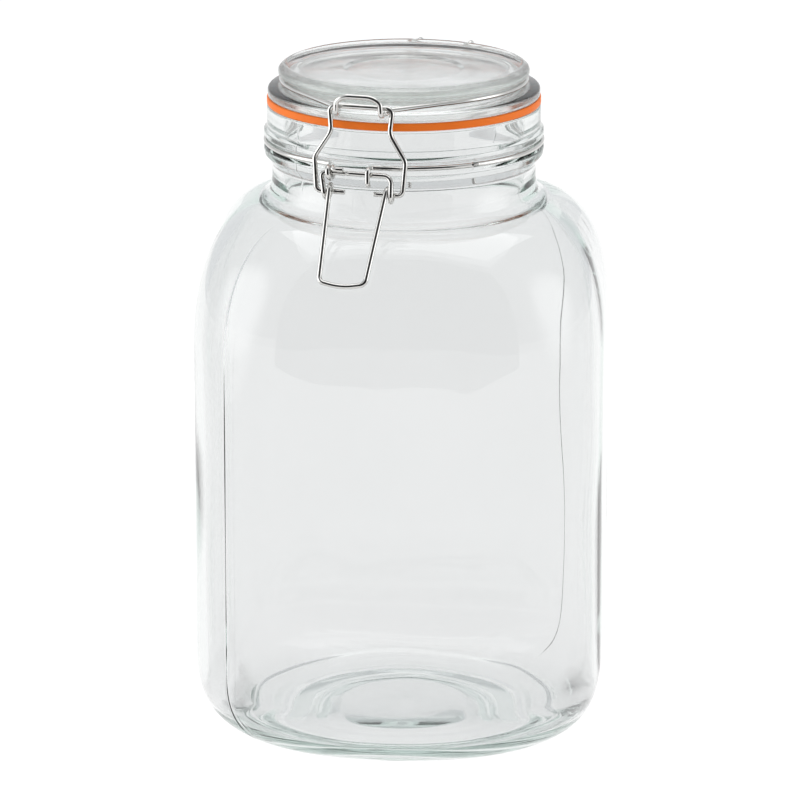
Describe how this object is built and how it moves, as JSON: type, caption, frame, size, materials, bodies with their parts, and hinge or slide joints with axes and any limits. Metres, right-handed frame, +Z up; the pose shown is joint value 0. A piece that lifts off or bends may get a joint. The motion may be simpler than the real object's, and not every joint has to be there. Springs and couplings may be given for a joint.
{
  "type": "storage jar",
  "caption": "Rounded-square clear glass storage jar with a round neck, a glass lid on a rubber seal, and a swing-top wire closure with a pull-down lever.",
  "frame": {"origin": "On the jar's vertical axis, in the plane of the foot ring that it stands on.", "axes": "+Z is up along the jar's axis. The four flat sides face -Y, +X, +Y and -X. The closure's front is turned 12.5 degrees about Z, from -Y towards -X, and the lid's hinge is opposite it."},
  "size_m": [0.146, 0.1477, 0.2466],
  "materials": {
    "clear_glass": "glossy",
    "closure_steel": "satin",
    "seal_rubber": "matte"
  },
  "bodies": {
    "jar": {"jar_body": "clear_glass", "neck_ring": "closure_steel"},
    "lid_group": {"lid": "clear_glass", "gasket": "seal_rubber", "lid_ring": "closure_steel"},
    "lever_body": {"lever": "closure_steel"},
    "bail_body": {"bail": "closure_steel"}
  },
  "joints": [
    {"name": "lid_hinge", "type": "hinge", "parent": "jar", "child": "lid_group", "pos_m": [0.01121, 0.05057, 0.242], "axis": [-0.9763, 0.2164, 0], "range_deg": [0, 105]},
    {"name": "lever_pivot", "type": "hinge", "parent": "jar", "child": "lever_body", "pos_m": [-0.01151, -0.05194, 0.2177], "axis": [-0.9763, 0.2164, 0], "range_deg": [0, 130]},
    {"name": "bail_pivot", "type": "hinge", "parent": "lever_body", "child": "bail_body", "pos_m": [-0.01156, -0.05213, 0.211], "axis": [-0.9763, 0.2164, 0], "range_deg": [-110.5, 0]}
  ],
  "couplings": [
    {"joint": "bail_pivot", "follows": "lever_pivot", "ratio": -0.85}
  ]
}
